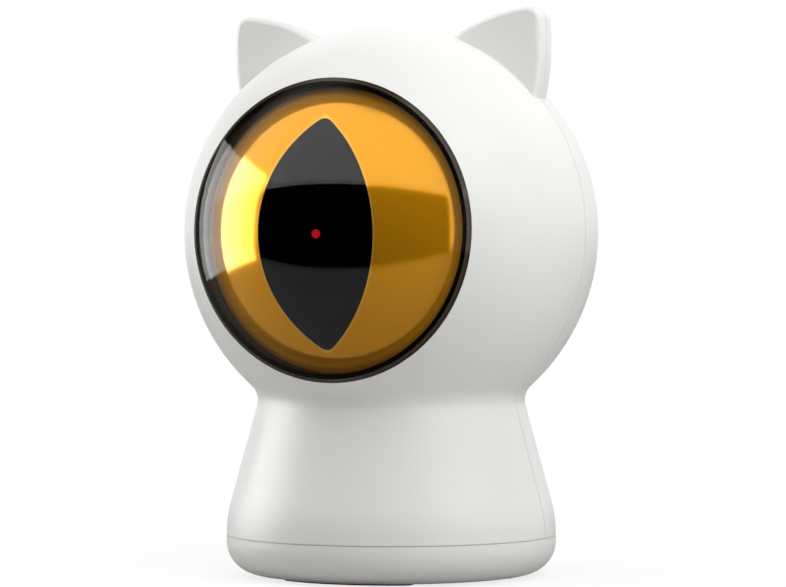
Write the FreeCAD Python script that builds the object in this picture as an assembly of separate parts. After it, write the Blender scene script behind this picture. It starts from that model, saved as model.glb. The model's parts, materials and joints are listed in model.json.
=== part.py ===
import FreeCAD, Part
import math
import os
from FreeCAD import Placement, Rotation, Vector

# Automatic cat laser toy. Millimetres, +Z up, the eye faces -Y.
# The origin is the centre of the footprint, on the floor.

# ------------------------------------------------------------------ driving dimensions: casing
head_radius = 48.0
neck_radius = 31.0
neck_fillet = 4.5
skirt_round = 30.0
base_band_height = 9.0
base_edge_land = 1.5
rear_room = 10.8
wall = 2.0
tongue_length = 1.2
tongue_gap = 0.1
lip_height = 3.0
lip_wall = 1.5
lip_gap = 0.2
seam_groove_width = 0.24
seam_groove_depth = 0.35

ear_thickness = 8.0
ear_inner_angle = 71.8
ear_tip_angle = 53.5
ear_outer_angle = 35.8
ear_inner_sink = 3.2
ear_outer_sink = 3.6
ear_height = 15.9
ear_top_bulge = 2.2
ear_side_bulge = 1.5
ear_tip_round = 3.2
ear_edge_round = 1.3

# ------------------------------------------------------------------ driving dimensions: eye
eye_rim = 14.0
eye_collar_wall = 3.0
eye_bay_gap = 1.95
eye_screw_room = 3.94
bezel_wall = 0.8
bezel_flange = 1.2
lens_wall = 1.5
lens_rim_wall = 1.4
iris_gap = 2.47
iris_bevel_width = 1.31
iris_wall = 1.2
iris_bevel_depth = 1.6
retainer_wall = 2.0
eye_screw_offset = 2.2
eye_boss_gap = 0.15
eye_screw_length = 5.5
slit_width = 27.7
slit_height = 51.1
slit_tip_round = 2.5
laser_drop = 0.9

# ------------------------------------------------------------------ driving dimensions: laser drive
window_gap = 1.8
pan_shaft_radius = 1.5
tilt_shaft_radius = 1.0
gear_module = 0.5
pan_gear_teeth = 42
tilt_gear_teeth = 34
pinion_teeth = 14
gear_backlash = 0.14
pressure_angle = 20.0
gear_width = 3.0
tilt_gear_width = 2.4
sector_angle = 150.0
laser_height = 11.5
deck_room = 1.58
yoke_floor = 2.0
cheek_inner = 9.0
cheek_wall = 2.0
cheek_radius = 4.5
cradle_wall = 2.0
carriage_margin = 0.5
yoke_hub_height = 2.0
shaft_socket_roof = 0.6
tilt_bush_radius = 2.0
tilt_bush_flange = 2.8
tilt_bush_flange_wall = 0.5
tilt_shaft_proud = 0.8
tilt_shaft_end = 0.4
washer_wall = 0.9
axial_play = 0.1
deck_wall = 2.5
deck_half_width = 14.0
bush_radius = 3.0
bush_flange = 4.2
bush_extra = 1.5
clip_room = 2.0
clip_wall = 0.6
clip_radius = 3.2
clip_groove_radius = 1.1
running_gap = 0.05
seat_gap = 0.03

holder_half_width = 5.5
holder_half_height = 4.75
holder_front = 13.0
holder_back = 3.0
trunnion_radius = 3.5
trunnion_reach = 8.3
pin_room = 1.5
set_screw_radius = 1.0
set_screw_setback = 4.0
set_screw_proud = 0.2
set_screw_slot = 0.4
set_screw_slot_depth = 0.6
barrel_radius = 3.25
barrel_length = 14.5
barrel_front = 18.0
laser_dot_radius = 0.95
lens_nub_proud = 0.3
lens_flange_wall = 1.4
lens_ring_wall = 0.8
barrel_mouth_depth = 2.4
barrel_mouth_radius = 2.6
diode_flange_radius = 2.3
diode_flange_wall = 1.2
diode_cap_radius = 1.75
diode_cap_height = 2.2
diode_lead_radius = 0.22
diode_lead_circle = 0.9
diode_lead_length = 1.2
barrel_bore_lip = 0.4

motor_width = 12.0
motor_depth = 10.0
gearbox_length = 9.0
motor_can_length = 15.0
motor_shaft_radius = 1.5
motor_boss_radius = 2.0
motor_screw_offset = 4.5
motor_corner_round = 0.8
motor_bore_depth = 6.0
motor_boss_height = 0.8
motor_screw_radius = 0.8
motor_screw_head = (1.4, 0.9)
motor_screw_grip = 2.5
motor_screw_hole = 3.0
motor_cap_height = 0.8
motor_cap_inset = 1.5
motor_tag = (1.4, 0.3, 1.5)
motor_tag_offset = 3.0

# ------------------------------------------------------------------ driving dimensions: chassis and boards
carriage_swing_gap = 0.95
chassis_plate_wall = 2.5
chassis_bar_half_height = 4.5
chassis_screw_gap = 0.46
chassis_screw_z = 14.0
chassis_plate_half_width = 21.5
board_wall = 1.6
board_standoff = 3.0
board_half_width = 20.0
board_screw_x = 17.0
board_low = -16.0
board_high = 20.0
board_screw_inset = 3.0
standoff_radius = 2.5
rib_length = 7.0
rib_wall = 2.0
rib_top_gap = 0.8
chassis_window = 9.0
deck_nose = 1.0
chassis_screw_radius = 1.0
chassis_screw_length = 7.0
board_screw_grip = 1.0
small_screw_head = (1.8, 1.3)
chip_half_width = 4.0
chip_height = 1.5
chip_up = 4.0
chip_lead_length = 1.2
chip_lead_width = 0.4
chip_lead_count = 8
capacitor_radius = 3.15
capacitor_length = 7.0
capacitor_places = ((-12.0, 10.0), (-12.0, 2.0), (11.5, 11.0))
header_places = (-13.0, -4.5, 4.5, 13.0)
header_drop = 8.5
header_size = (6.0, 4.5, 5.0)
header_wall = 0.6
header_floor = 1.0
header_pin = 0.6
header_pitch = 2.5
boss_radius = 2.7
shell_screw_high_x = 17.0
shell_screw_high_inset = 4.37
shell_screw_low_height = 19.8
shell_screw_low_inset = 5.6
shell_screw_seat = 9.0
shell_boss_radius = 2.8
shell_head_boss_radius = 4.2
shell_screw_radius = 1.25
shell_screw_length = 17.0
shell_screw_head = (2.3, 1.7)

# ------------------------------------------------------------------ driving dimensions: base and battery
foot_proud = 0.4
foot_pocket = 1.2
foot_inner_margin = 1.9
foot_outer_margin = 4.3
foot_span = 68.0
base_screw_margin = 7.0
base_screw_radius = 1.25
base_screw_head = (2.4, 1.7)
base_screw_floor = 2.0
pillar_radius = 4.0
base_boss_height = 12.0
base_rib_wall = 2.0
cell_radius = 7.25
cell_length = 50.5
cell_nub_radius = 2.75
cell_nub_height = 1.0
motor_room = 1.12
cell_gap = 0.35
contact_gap = 1.3
contact_wall = 0.3
bay_wall = 1.3
bay_roof = 1.2
bay_flange = 1.5
door_margin = 1.95
door_plug_margin = 0.75
door_gap = 0.15
door_boss_height = 1.5
door_post_radius = 3.4
door_plate_wall = 1.2
door_screw_radius = 1.0
door_screw_head = (2.1, 1.5)
door_screw_length = 7.5
contact_pad_radius = 4.5
contact_strip_width = 3.0
contact_leaf_wall = 0.25
contact_leaf_width = 2.4
contact_leaf_length = 6.4

# ------------------------------------------------------------------ driving dimensions: rear controls
control_board_gap = 0.8
control_board_wall = 1.2
control_board_edge_gap = 0.55
control_board_margin = 2.4
control_screw_x = 7.6
button_height = 14.2
button_radius = 4.5
button_proud = 0.8
button_gap = 0.2
button_travel = 0.4
button_ear_wall = 1.2
usb_height = 6.0
usb_width = 8.9
usb_thickness = 3.2
usb_recess = 1.2
light_pipe_radius = 1.2
light_pipe_x = 7.0
light_pipe_drop = 2.2
light_pipe_gap = 0.7
led_size = (1.6, 0.6, 0.8)
control_boss_radius = 2.0
control_screw_radius = 0.8
control_screw_length = 2.6
control_screw_head = (1.5, 0.9)
switch_half_width = 3.0
switch_height = 1.2
plunger_radius = 1.5
plunger_proud = 0.5
plunger_sink = 0.3
button_ear_reach = 1.2
button_edge_round = 0.6
usb_wall = 0.3
usb_back_wall = 0.8
usb_tongue_size = (6.4, 0.7)
usb_tongue_setback = 1.0

# ------------------------------------------------------------------ derived places: base and height
inner_radius = head_radius - wall
bottom_z = foot_proud
floor_top = bottom_z + wall
seam_z = bottom_z + base_band_height
bay_tube_radius = cell_radius + cell_gap + bay_wall
cell_circle = (motor_width / 2 + bay_tube_radius + motor_room) / math.cos(math.radians(30))
skirt_radius = cell_circle + bay_tube_radius + rear_room
base_edge_round = base_band_height - base_edge_land
bay_top = floor_top + contact_gap * 2 + cell_length + bay_roof
deck_bottom = bay_top + deck_room
deck_top = deck_bottom + deck_wall
pan_gear_bottom = deck_top + washer_wall + axial_play
yoke_bottom = pan_gear_bottom + gear_width
yoke_top = yoke_bottom + yoke_floor
laser_z = yoke_top + laser_height
head_z = laser_z + laser_drop

# ------------------------------------------------------------------ derived places: casing form
neck_centre_radius = neck_radius + neck_fillet
neck_to_head = math.sqrt((head_radius + neck_fillet) ** 2 - neck_centre_radius ** 2)
neck_z = head_z - neck_to_head
skirt_centre_radius = skirt_radius - skirt_round
flare_run = math.hypot(neck_centre_radius - skirt_centre_radius, neck_z - seam_z)
flare = (math.atan2(neck_z - seam_z, neck_centre_radius - skirt_centre_radius)
         - math.acos((skirt_round + neck_fillet) / flare_run))
flare_angle = math.degrees(flare)
skirt_top_radius = skirt_centre_radius + skirt_round * math.cos(flare)
skirt_top_z = seam_z + skirt_round * math.sin(flare)

# ------------------------------------------------------------------ derived places: eye
eye_opening_radius = head_radius - eye_rim
bay_front = cell_circle / 2 + bay_tube_radius
iris_radius = head_radius - seat_gap - lens_wall - iris_gap
bezel_outer_radius = eye_opening_radius - seat_gap
bezel_inner_radius = bezel_outer_radius - bezel_wall
lens_rim_radius = bezel_inner_radius - seat_gap
lens_inner_radius = lens_rim_radius - lens_rim_wall
iris_skirt_radius = lens_inner_radius - seat_gap
iris_rim_radius = iris_skirt_radius - iris_bevel_width
eye_collar_seat = bay_front + eye_bay_gap + retainer_wall + iris_wall + lens_wall + bezel_flange
bezel_back = eye_collar_seat - bezel_flange
lens_back = bezel_back - lens_wall
iris_back = lens_back - iris_wall
retainer_back = iris_back - retainer_wall
eye_flange_radius = math.sqrt(inner_radius ** 2 - iris_back ** 2) - eye_screw_room
eye_screw_circle = eye_flange_radius + eye_screw_offset
eye_boss_radius = eye_screw_offset - eye_boss_gap
eye_bore_radius = iris_rim_radius

# ------------------------------------------------------------------ derived places: laser drive and chassis
pan_axis_y = -(iris_radius - iris_wall - window_gap - barrel_front)
pan_centre_distance = gear_module * (pan_gear_teeth + pinion_teeth) / 2
tilt_centre_distance = gear_module * (tilt_gear_teeth + pinion_teeth) / 2
pan_motor_y = pan_axis_y + pan_centre_distance
tilt_motor_y = pan_axis_y + tilt_centre_distance
cheek_outer = cheek_inner + cheek_wall
tilt_gear_x = cheek_outer + 3 * axial_play
carriage_front = tilt_motor_y - motor_depth / 2 - carriage_margin
carriage_rear = tilt_motor_y + motor_depth / 2 + carriage_margin
carriage_left = cheek_inner - gearbox_length - motor_can_length
carriage_swing = math.hypot(carriage_left, carriage_rear - pan_axis_y)
chassis_plate_y = pan_axis_y + carriage_swing + carriage_swing_gap
chassis_screw_circle = eye_flange_radius + boss_radius + chassis_screw_gap
chassis_screw_x = math.sqrt(chassis_screw_circle ** 2 - chassis_screw_z ** 2)
main_board_y = chassis_plate_y + chassis_plate_wall + board_standoff
main_board_back = main_board_y + board_wall
shell_screw_high_z = math.sqrt((inner_radius - shell_screw_high_inset) ** 2 - shell_screw_high_x ** 2)

# --------------------------------------------------------------- derived places: battery and rear controls
cell_bottom = floor_top + contact_gap
base_screw_circle = cell_circle + base_screw_margin
foot_inner_radius = base_screw_circle - foot_inner_margin
foot_outer_radius = base_screw_circle + foot_outer_margin
door_lobe_radius = cell_radius + door_margin
door_plug_lobe_radius = cell_radius + door_plug_margin
foot_angles = (30.0, 150.0, 270.0)
cell_angles = (90.0, 210.0, 330.0)
base_screw_seat = bottom_z + foot_pocket + base_screw_floor
base_screw_length = seam_z - base_screw_seat + base_boss_height - 2 * wall
door_step_z = bottom_z + door_plate_wall
control_board_y = cell_circle + bay_tube_radius + control_board_gap
control_board_back = control_board_y + control_board_wall
button_z = seam_z + button_height
usb_z = seam_z + usb_height

X_AXIS = Vector(1, 0, 0)
Y_AXIS = Vector(0, 1, 0)
Z_AXIS = Vector(0, 0, 1)
FORWARD = Vector(0, -1, 0)
FAR = 4 * head_radius
TO_X_AXIS = Rotation(Vector(1, 1, 1), 120)
pan_motor_place = Placement(Vector(0, pan_motor_y, deck_bottom), Rotation())
tilt_motor_place = Placement(Vector(cheek_inner, tilt_motor_y, laser_z),
                             TO_X_AXIS.multiply(Rotation(Z_AXIS, 90)))


# ------------------------------------------------------------------ shape helpers
def box(x0, x1, y0, y1, z0, z1):
    return Part.makeBox(x1 - x0, y1 - y0, z1 - z0, Vector(x0, y0, z0))


def rod(radius, start, axis, length):
    return Part.makeCylinder(radius, length, start, axis)


def pipe(outer, inner, start, axis, length):
    return rod(outer, start, axis, length).cut(rod(inner, start, axis, length))


def join(shapes):
    first = shapes[0]
    return first.fuse(list(shapes[1:])).removeSplitter() if len(shapes) > 1 else first


def mirror_x(shape):
    return shape.mirror(Vector(0, 0, 0), X_AXIS)


def group(shapes):
    return Part.makeCompound(shapes)


def polar(radius, degrees, z=0.0):
    turn = math.radians(degrees)
    return Vector(radius * math.cos(turn), radius * math.sin(turn), z)


def turned_about_z(shape, degrees):
    placed = shape.copy()
    placed.rotate(Vector(0, 0, 0), Z_AXIS, degrees)
    return placed


def save(name, shape):
    shape.exportStep("parts/" + name + ".step")


def screw(seat, axis, shank_radius, length, head_radius_mm, head_height):
    """Pan-head screw: the head stands behind the seat and the shank runs along the axis."""
    head = rod(head_radius_mm, seat - axis * head_height, axis, head_height)
    shank = rod(shank_radius, seat, axis, length)
    slot_depth = head_height * 0.5
    slot_long = head_radius_mm * 1.2
    slot_wide = head_radius_mm * 0.3
    cross = [Part.makeBox(a, b, slot_depth, Vector(-a / 2, -b / 2, 0))
             for a, b in ((slot_long, slot_wide), (slot_wide, slot_long))]
    recess = cross[0].fuse(cross[1])
    recess.Placement = Placement(seat - axis * head_height, Rotation(Z_AXIS, axis))
    return head.cut(recess).fuse(shank).removeSplitter()


# ------------------------------------------------------------------ casing form
def body_solid(inset):
    """Solid of revolution of the head, neck and base, moved inwards by inset."""
    def arc(cx, cz, radius, start, end):
        def at(degrees):
            turn = math.radians(degrees)
            return Vector(cx + radius * math.cos(turn), 0, cz + radius * math.sin(turn))
        return Part.Arc(at(start), at((start + end) / 2), at(end)).toShape()

    neck_turn = math.degrees(math.atan2(neck_to_head, neck_centre_radius))
    base_z = bottom_z + base_edge_round
    curves = [
        arc(0, head_z, head_radius - inset, 90, -neck_turn),
        arc(neck_centre_radius, neck_z, neck_fillet + inset, 180 - neck_turn, 180 + flare_angle),
        arc(skirt_centre_radius, seam_z, skirt_round - inset, flare_angle, 0),
        arc(skirt_radius - base_edge_round, base_z, base_edge_round - inset, 0, -90),
    ]
    edges = []
    point = Vector(0, 0, bottom_z + inset)
    edges.append(Part.makeLine(point, curves[0].valueAt(curves[0].FirstParameter)))
    previous = None
    for curve in curves:
        start = curve.valueAt(curve.FirstParameter)
        end = curve.valueAt(curve.LastParameter)
        if previous is not None and (start - previous).Length > 1e-6:
            edges.append(Part.makeLine(previous, start))
        edges.append(curve)
        previous = end
    edges.append(Part.makeLine(previous, point))
    face = Part.Face(Part.Wire(edges))
    return face.revolve(Vector(0, 0, 0), Z_AXIS, 360)


def flare_radius(z):
    """Outer radius of the casing at a height between the seam and the neck."""
    if z < skirt_top_z:
        return skirt_centre_radius + math.sqrt(skirt_round ** 2 - (z - seam_z) ** 2)
    return skirt_top_radius - (z - skirt_top_z) * math.tan(flare)


def ear_corner(degrees, rise):
    """Point of the ear's outline, at an angle about the head's centre and a height over the head."""
    point = polar(head_radius + rise, degrees)
    return Vector(point.x, 0, head_z + point.y)


def ear_outline():
    """Outline of the right ear in the XZ plane, with its foot inside the head."""
    def bulged(start, end, bulge):
        chord = end - start
        normal = Vector(-chord.z, 0, chord.x).normalize()
        return Part.Arc(start, (start + end) * 0.5 + normal * bulge, end).toShape()

    inner = ear_corner(ear_inner_angle, -ear_inner_sink)
    tip = ear_corner(ear_tip_angle, ear_height)
    outer = ear_corner(ear_outer_angle, -ear_outer_sink)
    root = Vector(inner.x, 0, outer.z)
    return Part.Wire([
        bulged(inner, tip, ear_top_bulge),
        bulged(tip, outer, ear_side_bulge),
        Part.makeLine(outer, root),
        Part.makeLine(root, inner),
    ])


def ear_plate(inset):
    """One ear, as a plate with a rounded tip; inset gives the hollow inside it."""
    half = ear_thickness / 2 - inset
    face = Part.Face(ear_outline())
    if inset:
        face = face.makeOffset2D(-inset)
    face.translate(Vector(0, -half, 0))
    plate = face.extrude(Vector(0, 2 * half, 0))
    tip = ear_corner(ear_tip_angle, ear_height)

    def along_y(edge):
        start, end = edge.Vertexes[0].Point, edge.Vertexes[-1].Point
        return abs(abs((end - start).y) - 2 * half) < 1e-6

    uprights = [edge for edge in plate.Edges if along_y(edge)]
    tip_edge = min(uprights, key=lambda edge: (edge.CenterOfMass - tip).Length)
    plate = plate.makeFillet(ear_tip_round - inset, [tip_edge])
    if not inset:
        rim = [edge for edge in plate.Edges
               if not along_y(edge) and not isinstance(edge.Curve, Part.Line)]
        plate = plate.makeFillet(ear_edge_round, rim)
    return plate


def body_with_ears(inset):
    ear = ear_plate(inset)
    return join([body_solid(inset), ear, mirror_x(ear)])


def seam_groove():
    """Fine line where the shells meet each other and the base cover."""
    half = seam_groove_width / 2
    skin = body_with_ears(0).cut(body_with_ears(seam_groove_depth))
    upright = box(-FAR, FAR, -half, half, seam_z, FAR)
    level = box(-FAR, FAR, -FAR, FAR, seam_z - half, seam_z + half)
    return skin.common(upright.fuse(level))


def half_space(front):
    return box(-FAR, FAR, -FAR if front else 0, 0 if front else FAR, seam_z, FAR)


def tongue(gap):
    """Ring inside the parting line, below the ears; gap widens it into its rebate."""
    ring = body_solid(wall / 2 - gap).cut(body_solid(wall + gap))
    return ring.common(box(-FAR, FAR, -tongue_length - gap, 0, seam_z, head_z + head_radius / 2))


# ------------------------------------------------------------------ bosses and screws in the casing
def shell_screw_places():
    low_z = seam_z + shell_screw_low_height
    low_x = flare_radius(low_z) - shell_screw_low_inset
    places = ((shell_screw_high_x, head_z + shell_screw_high_z), (low_x, low_z))
    return [(side * x, z) for x, z in places for side in (-1, 1)]


def chassis_screw_places():
    return [(sx * chassis_screw_x, head_z + sz * chassis_screw_z) for sx in (-1, 1) for sz in (-1, 1)]


def eye_screw_places():
    offset = eye_screw_circle / math.sqrt(2)
    return [(sx * offset, head_z + sz * offset) for sx in (-1, 1) for sz in (-1, 1)]


def base_boss(degrees):
    """Upright boss for one base screw, with a rib out to the skirt."""
    centre = polar(base_screw_circle, degrees, seam_z)
    boss = rod(pillar_radius - lip_gap, centre, Z_AXIS, base_boss_height)
    rib = box(base_screw_circle, skirt_radius, -base_rib_wall / 2, base_rib_wall / 2,
              seam_z + lip_height + 2 * lip_gap, seam_z + base_boss_height)
    return boss.fuse(turned_about_z(rib, degrees))


def base_boss_bore(degrees):
    return rod(base_screw_radius + running_gap, polar(base_screw_circle, degrees, seam_z), Z_AXIS,
               base_boss_height - wall)


# ------------------------------------------------------------------ casing pieces
def make_front_shell():
    within = body_solid(wall / 2)
    collar_outer = eye_opening_radius + eye_collar_wall
    eye_centre = Vector(0, -eye_collar_seat, head_z)
    collar = rod(collar_outer, eye_centre, FORWARD, head_radius - eye_collar_seat).common(within)
    bosses = [collar]
    for x, z in shell_screw_places():
        bosses.append(rod(shell_boss_radius, Vector(x, 0, z), FORWARD, head_radius))
    for x, z in chassis_screw_places():
        bosses.append(rod(boss_radius, Vector(x, chassis_plate_y, z), FORWARD, head_radius))
    for x, z in eye_screw_places():
        bosses.append(rod(eye_boss_radius, Vector(x, -iris_back, z), FORWARD, head_radius))
    bosses.append(base_boss(foot_angles[2]))
    keep = within.common(box(-FAR, FAR, -FAR, chassis_plate_y, seam_z, FAR))
    inside = join(bosses).common(keep)
    skin = body_with_ears(0).cut(body_with_ears(wall)).common(half_space(True))
    skin = skin.cut(tongue(tongue_gap))
    shell = skin.fuse(inside)
    shell = shell.cut(rod(eye_opening_radius, Vector(0, -iris_back, head_z), FORWARD, head_radius))
    for x, z in shell_screw_places():
        shell = shell.cut(rod(shell_screw_radius + seat_gap, Vector(x, 0, z), FORWARD, shell_screw_length
                              - shell_screw_seat + wall))
    for x, z in chassis_screw_places():
        shell = shell.cut(rod(chassis_screw_radius + seat_gap, Vector(x, chassis_plate_y, z), FORWARD,
                              chassis_screw_length))
    for x, z in eye_screw_places():
        shell = shell.cut(rod(chassis_screw_radius + seat_gap, Vector(x, -iris_back, z), FORWARD,
                              eye_screw_length - retainer_wall + seat_gap))
    return shell.cut(base_boss_bore(foot_angles[2])).cut(seam_groove()).removeSplitter()


def button_hole():
    return rod(button_radius + button_gap, Vector(0, control_board_back, button_z), Y_AXIS, head_radius)


def usb_block(grow, y0, length):
    half_w = usb_width / 2 + grow
    half_t = usb_thickness / 2 + grow
    block = box(-half_w, half_w, y0, y0 + length, usb_z - half_t, usb_z + half_t)
    corners = [edge for edge in block.Edges
               if abs(edge.Vertexes[0].Point.y - edge.Vertexes[-1].Point.y) > length / 2]
    return block.makeFillet(half_t * 0.8, corners)


def control_screw_places():
    low = usb_z - button_gap
    high = button_z + button_radius - button_gap
    return [(side * control_screw_x, z) for side in (-1, 1) for z in (low, high)]


def light_pipe_place(y):
    return Vector(light_pipe_x, y, button_z - light_pipe_drop)


def make_rear_shell():
    within = body_solid(wall / 2)
    board_back = control_board_back
    bosses = []
    for x, z in shell_screw_places():
        bosses.append(rod(shell_boss_radius, Vector(x, 0, z), Y_AXIS, head_radius))
        bosses.append(rod(shell_head_boss_radius, Vector(x, shell_screw_seat - wall, z), Y_AXIS,
                          head_radius))
    for x, z in control_screw_places():
        bosses.append(rod(control_boss_radius, Vector(x, board_back, z), Y_AXIS, head_radius))
    for degrees in foot_angles[:2]:
        bosses.append(base_boss(degrees))
    keep = within.common(half_space(False))
    inside = join(bosses).common(keep)
    skin = body_with_ears(0).cut(body_with_ears(wall)).common(half_space(False))
    shell = join([skin, inside, tongue(0)])
    for x, z in shell_screw_places():
        shell = shell.cut(rod(shell_screw_radius + running_gap, Vector(x, -wall, z), Y_AXIS, head_radius))
        shell = shell.cut(rod(shell_screw_head[0] + button_gap, Vector(x, shell_screw_seat, z), Y_AXIS,
                              head_radius))
    for x, z in control_screw_places():
        shell = shell.cut(rod(control_screw_radius + seat_gap, Vector(x, board_back, z), Y_AXIS,
                              control_screw_length))
    for degrees in foot_angles[:2]:
        shell = shell.cut(base_boss_bore(degrees))
    shell = shell.cut(button_hole())
    shell = shell.cut(usb_block(button_gap, board_back, head_radius))
    shell = shell.cut(rod(light_pipe_radius + running_gap, light_pipe_place(board_back), Y_AXIS,
                          head_radius))
    return shell.cut(seam_groove()).removeSplitter()


def trilobe(radius, z0, z1):
    """Rounded triangle around the three cells, between two heights."""
    corner = 180.0 / len(cell_angles)
    edges = []
    previous = None
    first = None
    for degrees in cell_angles:
        centre = polar(cell_circle, degrees, z0)
        start, middle, end = [centre + polar(radius, degrees + turn) for turn in (-corner, 0, corner)]
        if previous is not None:
            edges.append(Part.makeLine(previous, start))
        else:
            first = start
        edges.append(Part.Arc(start, middle, end).toShape())
        previous = end
    edges.append(Part.makeLine(previous, first))
    return Part.Face(Part.Wire(edges)).extrude(Vector(0, 0, z1 - z0))


def foot(degrees, gap, z0, z1):
    """Crescent pad about one base screw."""
    inner = foot_inner_radius - gap
    outer = foot_outer_radius + gap
    span = foot_span + 2 * math.degrees(gap / foot_outer_radius)
    wedge = Part.makeCylinder(outer, z1 - z0, Vector(0, 0, z0), Z_AXIS, span)
    pad = wedge.cut(rod(inner, Vector(0, 0, z0), Z_AXIS, z1 - z0))
    corners = [edge for edge in pad.Edges
               if isinstance(edge.Curve, Part.Line)
               and abs(edge.Vertexes[0].Point.z - edge.Vertexes[-1].Point.z) > (z1 - z0) / 2]
    pad = pad.makeFillet((outer - inner) * 0.4, corners)
    return turned_about_z(pad, degrees - span / 2)


def make_base_cover():
    lower = box(-FAR, FAR, -FAR, FAR, 0, seam_z)
    cover = body_solid(0).cut(body_solid(wall)).common(lower)
    inner = skirt_radius - wall
    lip_radius = flare_radius(seam_z + lip_height) - wall - lip_gap
    lip_bore = lip_radius - lip_wall
    lip_foot = Vector(0, 0, seam_z - lip_height)
    parts = [
        cover,
        pipe(inner + wall / 2, lip_bore, lip_foot, Z_AXIS, lip_height),
        pipe(lip_radius, lip_bore, lip_foot, Z_AXIS, 2 * lip_height),
    ]
    for degrees in foot_angles:
        parts.append(rod(pillar_radius, polar(base_screw_circle, degrees, floor_top - wall / 2), Z_AXIS,
                         seam_z - bay_flange - floor_top + wall / 2))
    cover = join(parts)
    for degrees in foot_angles:
        axis_foot = polar(base_screw_circle, degrees, bottom_z)
        cover = cover.cut(foot(degrees, seat_gap, 0, bottom_z + foot_pocket))
        cover = cover.cut(rod(base_screw_radius + running_gap, axis_foot, Z_AXIS, seam_z))
        cover = cover.cut(rod(base_screw_head[0] + button_gap, axis_foot, Z_AXIS,
                              base_screw_seat - bottom_z))
    cover = cover.cut(trilobe(door_lobe_radius, 0, door_step_z))
    cover = cover.cut(trilobe(door_plug_lobe_radius, 0, floor_top + wall))
    return cover.cut(seam_groove()).removeSplitter()


def make_battery_door():
    plate = trilobe(door_lobe_radius - door_gap, bottom_z, door_step_z)
    plug = trilobe(door_plug_lobe_radius - door_gap, door_step_z, floor_top)
    boss = rod(door_post_radius, Vector(0, 0, floor_top), Z_AXIS, door_boss_height)
    door = join([plate, plug, boss])
    door = door.cut(rod(door_screw_radius + running_gap, Vector(0, 0, 0), Z_AXIS, floor_top + wall))
    return door.cut(rod(door_screw_head[0] + door_gap, Vector(0, 0, 0), Z_AXIS, floor_top)).removeSplitter()


def make_door_screw():
    seat = Vector(0, 0, floor_top)
    return screw(seat, Z_AXIS, door_screw_radius, door_screw_length, *door_screw_head)


def make_feet():
    return group([foot(degrees, 0, 0, bottom_z + foot_pocket) for degrees in foot_angles])


def make_base_screws():
    return group([screw(polar(base_screw_circle, degrees, base_screw_seat), Z_AXIS, base_screw_radius,
                        base_screw_length, *base_screw_head) for degrees in foot_angles])


def make_shell_screws():
    return group([screw(Vector(x, shell_screw_seat, z), FORWARD, shell_screw_radius, shell_screw_length,
                        *shell_screw_head) for x, z in shell_screw_places()])


# ------------------------------------------------------------------ eye
def turned_forward(points, arcs):
    """Ring or dome about the eye axis from (radius, forward) points; arcs maps a segment to its sphere."""
    def place(point):
        return Vector(point[0], -point[1], head_z)

    edges = []
    count = len(points)
    for index, start in enumerate(points):
        end = points[(index + 1) % count]
        if index in arcs:
            radius = arcs[index]
            turn = (math.atan2(start[1], start[0]) + math.atan2(end[1], end[0])) / 2
            middle = (radius * math.cos(turn), radius * math.sin(turn))
            edges.append(Part.Arc(place(start), place(middle), place(end)).toShape())
        else:
            edges.append(Part.makeLine(place(start), place(end)))
    return Part.Face(Part.Wire(edges)).revolve(Vector(0, 0, head_z), Y_AXIS, 360)


def on_sphere(sphere_radius, ring_radius):
    return (ring_radius, math.sqrt(sphere_radius ** 2 - ring_radius ** 2))


def make_bezel():
    return turned_forward([
        on_sphere(head_radius, bezel_inner_radius),
        on_sphere(head_radius, bezel_outer_radius),
        (bezel_outer_radius, eye_collar_seat),
        (eye_flange_radius, eye_collar_seat),
        (eye_flange_radius, bezel_back),
        (bezel_inner_radius, bezel_back),
    ], {0: head_radius})


def make_eye_lens():
    """Clear dome with a flange; both spheres have their poles above and below the eye."""
    outside = head_radius - seat_gap
    centre = Vector(0, 0, head_z)
    back = Vector(0, -lens_back, head_z)
    dome = Part.makeSphere(outside, centre).common(rod(lens_rim_radius, back, FORWARD, outside))
    flange = rod(eye_flange_radius, back, FORWARD, bezel_back - lens_back)
    hollow = Part.makeSphere(outside - lens_wall, centre).common(
        rod(lens_inner_radius, back, FORWARD, outside))
    return join([flange, dome]).cut(hollow)


def slit_prism(gap):
    """Almond outline with rounded tips, as a prism along the eye axis."""
    half_width = slit_width / 2 - gap
    tip_round = slit_tip_round - gap
    tip_centre = slit_height / 2 - slit_tip_round
    side_radius = (tip_centre ** 2 + half_width ** 2 - tip_round ** 2) / (2 * (half_width - tip_round))
    side_centre = side_radius - half_width
    turn = math.atan2(tip_centre, side_centre)

    def at(cx, cz, radius, angle):
        return Vector(cx + radius * math.cos(angle), 0, laser_z + cz + radius * math.sin(angle))

    right = [at(-side_centre, 0, side_radius, angle) for angle in (-turn, 0, turn)]
    left = [Vector(-point.x, 0, point.z) for point in reversed(right)]
    top = at(0, tip_centre, tip_round, math.pi / 2)
    low = at(0, -tip_centre, tip_round, -math.pi / 2)
    wire = Part.Wire([
        Part.Arc(*right).toShape(),
        Part.Arc(right[2], top, left[0]).toShape(),
        Part.Arc(*left).toShape(),
        Part.Arc(left[2], low, right[0]).toShape(),
    ])
    return Part.Face(wire).extrude(FORWARD * FAR)


def make_iris():
    inside = iris_radius - iris_wall
    bevel_back = on_sphere(iris_radius, iris_rim_radius)[1] - iris_bevel_depth
    throat = on_sphere(inside, iris_rim_radius - iris_wall)
    dome = turned_forward([
        (0, iris_radius),
        on_sphere(iris_radius, iris_rim_radius),
        (iris_skirt_radius, bevel_back),
        (iris_skirt_radius, lens_back),
        (eye_flange_radius, lens_back),
        (eye_flange_radius, iris_back),
        (eye_bore_radius, iris_back),
        (eye_bore_radius, bevel_back - iris_wall),
        throat,
        (0, inside),
    ], {0: iris_radius, 8: inside})
    return dome.cut(slit_prism(0))


def make_pupil_window():
    centre = Vector(0, 0, head_z)
    shell = Part.makeSphere(iris_radius, centre).cut(Part.makeSphere(iris_radius - iris_wall, centre))
    return shell.common(slit_prism(seat_gap))


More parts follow.
